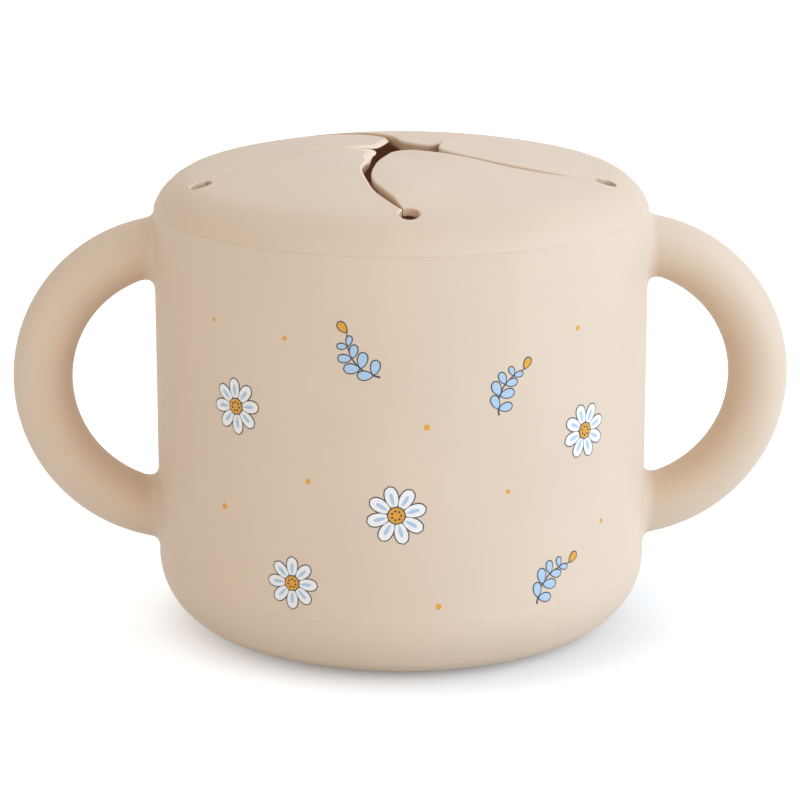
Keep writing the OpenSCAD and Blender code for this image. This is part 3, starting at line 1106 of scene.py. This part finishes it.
def layout_piece(layout):
    """The places of a motif as loose points that carry each copy's tilt and size."""
    points = [(x * MM, z * MM, 0) for x, z, tilt, size in layout]
    places = show("places", plain_mesh("places", points, [], ink("white")))
    for name, column in (("tilt", 2), ("size", 3)):
        attribute = places.data.attributes.new(name, "FLOAT", "POINT")
        attribute.data.foreach_set("value", [float(entry[column]) for entry in layout])
    return places


def wrap_tree(material):
    """Repeats a flat mark round a flower, lays copies on the wall and gives the ink its height."""
    tree = ShapeTree("Wrap print " + material.name)
    tree.ask("Int", "Count")
    tree.ask("Float", "Ring", "Wall Radius", "Base", "Ink")
    tree.ask("Object", "Places")
    given, add, times = tree.given, tree.add, tree.times

    def copies(flat, points, turn, size=None):
        """A flat shape on each point, turned about +Z and scaled."""
        named = {"Instance": flat, "Rotation": tree.join(0.0, 0.0, turn), "Scale": size}
        placed = tree.node("GeometryNodeInstanceOnPoints", points, named=named).outputs[0]
        return tree.node("GeometryNodeRealizeInstances", placed).outputs[0]

    # copies of the mark round a ring, all pointing outwards
    spots = tree.node("GeometryNodePoints", given["Count"]).outputs[0]
    number = tree.node("GeometryNodeInputIndex").outputs[0]
    turn = tree.over(times(number, math.tau), given["Count"])
    x = times(times(tree.calc("SINE", turn), given["Ring"]), -1.0)
    y = times(tree.calc("COSINE", turn), given["Ring"])
    ring = tree.node("GeometryNodeSetPosition", spots, None, tree.join(x, y, 0.0)).outputs[0]
    flower = copies(given["Geometry"], ring, turn)
    # the flower at each place of the layout, turned and scaled by the place's own attributes
    info = tree.node("GeometryNodeObjectInfo", named={"Object": given["Places"]})
    tilt, size = (
        tree.node("GeometryNodeInputNamedAttribute", name, data_type="FLOAT").outputs[0]
        for name in ("tilt", "size")
    )
    flat = copies(flower, info.outputs["Geometry"], tilt, size)
    slab = tree.node("GeometryNodeExtrudeMesh", flat, None, (0, 0, 1), given["Ink"], False, mode="FACES")
    back = tree.node("GeometryNodeFlipFaces", flat).outputs[0]
    both = tree.node("GeometryNodeJoinGeometry")
    for half in (slab.outputs[0], back):
        feed(both.inputs[0], half)
    welded = tree.node("GeometryNodeMergeByDistance", both.outputs[0], named={"Distance": 1e-7}).outputs[0]
    # from the flat layout to the wall: x runs round, y up and z outwards
    x, y, z = tree.split(tree.node("GeometryNodeInputPosition").outputs[0])
    angle = tree.over(x, given["Wall Radius"])
    reach = add(add(given["Wall Radius"], given["Base"]), z)
    sideways = times(tree.calc("SINE", angle), reach)
    forwards = times(times(tree.calc("COSINE", angle), reach), -1.0)
    return tree.finish(welded, tree.join(sideways, forwards, y), material)


# --- Stage ---

VIEW_DISTANCE = 587.35 * MM
VIEW_HEIGHT = 36 * MM  # height of the point that the camera looks at
VIEW_TILT = 0.268  # radians above the horizon
VIEW_TURN = math.radians(1.6)  # turn about the axis, from straight in front
PICTURE = 800  # width of the picture that the next two are measured in
VIEW_LENS = 3319.3  # focal length
VIEW_CENTRE = (401.3, 417.22)  # picture point of the optical axis

WHITE = (1, 1, 1)
WARM = (1.0, 0.893, 0.803)
COOL = (0.68, 0.835, 1.0)
ROOM_LIGHT = 0.68
LIT_POINT = Vector((0, 0, 0.04))  # where the lights point
LIGHTS = (  # name, direction from the cup, distance, size, power and colour
    ("window_right", (1, -0.15, 0.35), 1.0, 0.9, 4.4, COOL),
    ("window_front", (0.8, -0.8, 0.5), 1.0, 0.9, 3.85, COOL),
    ("top_back", (0.2, 0.9, 0.9), 1.0, 0.9, 2.8, COOL),
    ("card_left", (-0.6, -1, 0.2), 0.26, 0.2, 0.07, WARM),
)
FLOOR_HALF = 4.0
PAPER, SHADED_PAPER = (0.8, 0.8, 0.8), (0.74, 0.775, 0.805)
# Painted shadow on the floor: to the lens the paper glows least round a point near the cup, and more with
# distance
SHADOW_MIDDLE = (0.008, 0, 0)
PAINTED_SHADOW_GLOW = 0.22
PAINTED_SHADOW_RISES = ((0.034, 0.056, 0.3), (0.056, 0.2, 0.1), (0.5, 1.2, 0.4))  # from, to, more glow


def make_camera():
    data = bpy.data.cameras.new("camera")
    data.sensor_width = 36
    data.lens = VIEW_LENS / PICTURE * data.sensor_width
    data.shift_x = (PICTURE / 2 - VIEW_CENTRE[0]) / PICTURE
    data.shift_y = (VIEW_CENTRE[1] - PICTURE / 2) / PICTURE
    data.clip_start = 0.01
    camera = show("camera", data)
    flat = math.cos(VIEW_TILT)
    back = Vector((-flat * math.sin(VIEW_TURN), -flat * math.cos(VIEW_TURN), math.sin(VIEW_TILT)))
    camera.location = Vector((0, 0, VIEW_HEIGHT)) + back * VIEW_DISTANCE
    camera.rotation_euler = back.to_track_quat("Z", "Y").to_euler()
    bpy.context.scene.camera = camera


def make_light(name, direction, distance, size, power, tone):
    """A square soft light that faces the cup."""
    data = bpy.data.lights.new(name, "AREA")
    data.color = tone
    data.shape = "SQUARE"
    data.size = size
    data.energy = power
    light = show(name, data)
    towards = Vector(direction).normalized()
    light.location = LIT_POINT + towards * distance
    light.rotation_euler = towards.to_track_quat("Z", "Y").to_euler()


def floor_material():
    """White paper: plain for the lens, with the lights' soft shadow kept and a painted shadow round the cup,
    and diffuse for the light.
    """
    material = bpy.data.materials.new("floor_paper")
    tree = emptied(material)
    rays = tree.node("ShaderNodeLightPath").outputs
    seen = tree.calc("MAXIMUM", rays["Is Camera Ray"], rays["Is Glossy Ray"])
    seen = tree.calc("MAXIMUM", seen, rays["Is Transmission Ray"])
    # painted shadow: to the lens the paper glows less near the cup, so it is darker there, whiter away from
    # it and quite white far off
    away = tree.vector("DISTANCE", object_place(tree), SHADOW_MIDDLE)["Value"]
    strength = PAINTED_SHADOW_GLOW
    for start, end, more in PAINTED_SHADOW_RISES:
        strength = tree.add(tree.smooth(away, start, end, more), strength)
    glow = tree.node("ShaderNodeEmission", (*WHITE, 1), strength).outputs[0]
    paper, shaded = (
        tree.node("ShaderNodeBsdfDiffuse", (*tone, 1)).outputs[0] for tone in (PAPER, SHADED_PAPER)
    )
    both = tree.node("ShaderNodeAddShader", glow, shaded).outputs[0]
    mixed = tree.node("ShaderNodeMixShader", seen, paper, both).outputs[0]
    tree.node("ShaderNodeOutputMaterial", mixed)
    return material


def make_world():
    """Even light from all round; white where the lens sees past the floor."""
    world = bpy.data.worlds.new("studio")
    bpy.context.scene.world = world
    tree = emptied(world)
    seen = tree.node("ShaderNodeLightPath").outputs["Is Camera Ray"]
    room, white = (
        tree.node("ShaderNodeBackground", (*tone, 1), strength).outputs[0]
        for tone, strength in ((WARM, ROOM_LIGHT), (WHITE, 1))
    )
    tree.node("ShaderNodeOutputWorld", tree.node("ShaderNodeMixShader", seen, room, white).outputs[0])


# --- Operators ---


class SNACKCUP_OT_stage(bpy.types.Operator):
    """Makes the floor, the lights and the camera"""

    bl_idname = "snackcup.stage"
    bl_label = "Make stage"

    def execute(self, context):
        corners = [(x * FLOOR_HALF, y * FLOOR_HALF, 0) for x, y in ((-1, -1), (1, -1), (1, 1), (-1, 1))]
        floor = show("floor", plain_mesh("floor", corners, [(0, 1, 2, 3)], floor_material()))
        for light in LIGHTS:
            make_light(*light)
        make_world()
        make_camera()
        context.scene.view_settings.view_transform = "Standard"
        return {"FINISHED"}


class SNACKCUP_OT_cup(bpy.types.Operator):
    """Makes the cup and its two loops as one moulding"""

    bl_idname = "snackcup.cup"
    bl_label = "Make cup"

    def execute(self, context):
        cup, loops = context.scene.snack_cup.cup, context.scene.snack_cup.loops
        skin = cup_mesh(cup, loops)
        piece = new_piece("cup_moulding", skin, silicone(), cup_notes(skin, cup, loops))
        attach(piece, "cup")
        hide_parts("cup", "handle_left", "handle_right")
        return {"FINISHED"}


class SNACKCUP_OT_lid(bpy.types.Operator):
    """Makes the lid's dome, shoulder, plug and ribs"""

    bl_idname = "snackcup.lid"
    bl_label = "Make lid"

    def execute(self, context):
        sizes = context.scene.snack_cup
        skin, notes = lid_mesh(sizes.lid, sizes.cup, sizes.flaps)
        piece = new_piece("lid_moulding", skin, silicone(), notes)
        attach(piece, "lid")
        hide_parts("lid")
        return {"FINISHED"}


class SNACKCUP_OT_flaps(bpy.types.Operator):
    """Makes the five flaps, each bending at its root"""

    bl_idname = "snackcup.flaps"
    bl_label = "Make flaps"

    def execute(self, context):
        lid, flaps = context.scene.snack_cup.lid, context.scene.snack_cup.flaps
        group = dome_tree()
        for number, (joint, rest) in enumerate(zip(FLAP_JOINTS, FLAPS_AT_REST)):
            template = flap_template(lid, flaps, rest)
            mesh = run_tree(template, group, settle_values(lid, flaps, number, rest))
            mesh.set_sharp_from_angle(angle=SHARP)
            body = joint["child"]
            piece = show("bending_" + body, mesh)
            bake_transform(piece)
            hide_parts(body)
            bpy.data.objects.remove(template)
        return {"FINISHED"}


class SNACKCUP_OT_print(bpy.types.Operator):
    """Prints the flowers, sprigs and dots on the front of the wall"""

    bl_idname = "snackcup.print"
    bl_label = "Make print"

    def execute(self, context):
        sizes = context.scene.snack_cup
        height = sizes.print.ink
        for name, layout, count, ring, level, material, bands in print_layers(sizes.print):
            places, flat = layout_piece(layout), mark(bands, material)
            # each layer starts half a layer deep, so that it joins what lies below
            values = {
                "Count": count, "Ring": ring, "Wall Radius": sizes.cup.radius,
                "Base": (level - 0.5) * height, "Ink": 1.5 * height, "Places": places,
            }
            piece = show("print_" + name, run_tree(flat, wrap_tree(material), values))
            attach(piece, "cup")
            bpy.data.objects.remove(flat)
            bpy.data.objects.remove(places)
        return {"FINISHED"}


class SNACKCUP_PT_panel(bpy.types.Panel):
    """Lists the steps that build the cup"""

    bl_label = "Snack cup"
    bl_idname = "SNACKCUP_PT_panel"
    bl_space_type = "VIEW_3D"
    bl_region_type = "UI"
    bl_category = "Snack cup"

    def draw(self, context):
        for operator in OPERATORS:
            self.layout.operator(operator.bl_idname)


GROUPS = (CupShape, LoopShape, LidShape, FlapShape, ColoursAndPaintedLight, PrintShape, CupSettings)
OPERATORS = (
    SNACKCUP_OT_stage, SNACKCUP_OT_cup, SNACKCUP_OT_lid, SNACKCUP_OT_flaps, SNACKCUP_OT_print,
)


def register():
    for item in (*GROUPS, *OPERATORS, SNACKCUP_PT_panel):
        bpy.utils.register_class(item)
    bpy.types.Scene.snack_cup = PointerProperty(type=CupSettings)


def unregister():
    del bpy.types.Scene.snack_cup
    for item in reversed((*GROUPS, *OPERATORS, SNACKCUP_PT_panel)):
        bpy.utils.unregister_class(item)


def main():
    register()
    bpy.ops.snackcup.stage()
    bpy.ops.snackcup.cup()
    bpy.ops.snackcup.lid()
    bpy.ops.snackcup.flaps()
    bpy.ops.snackcup.print()


if __name__ == "__main__":
    main()
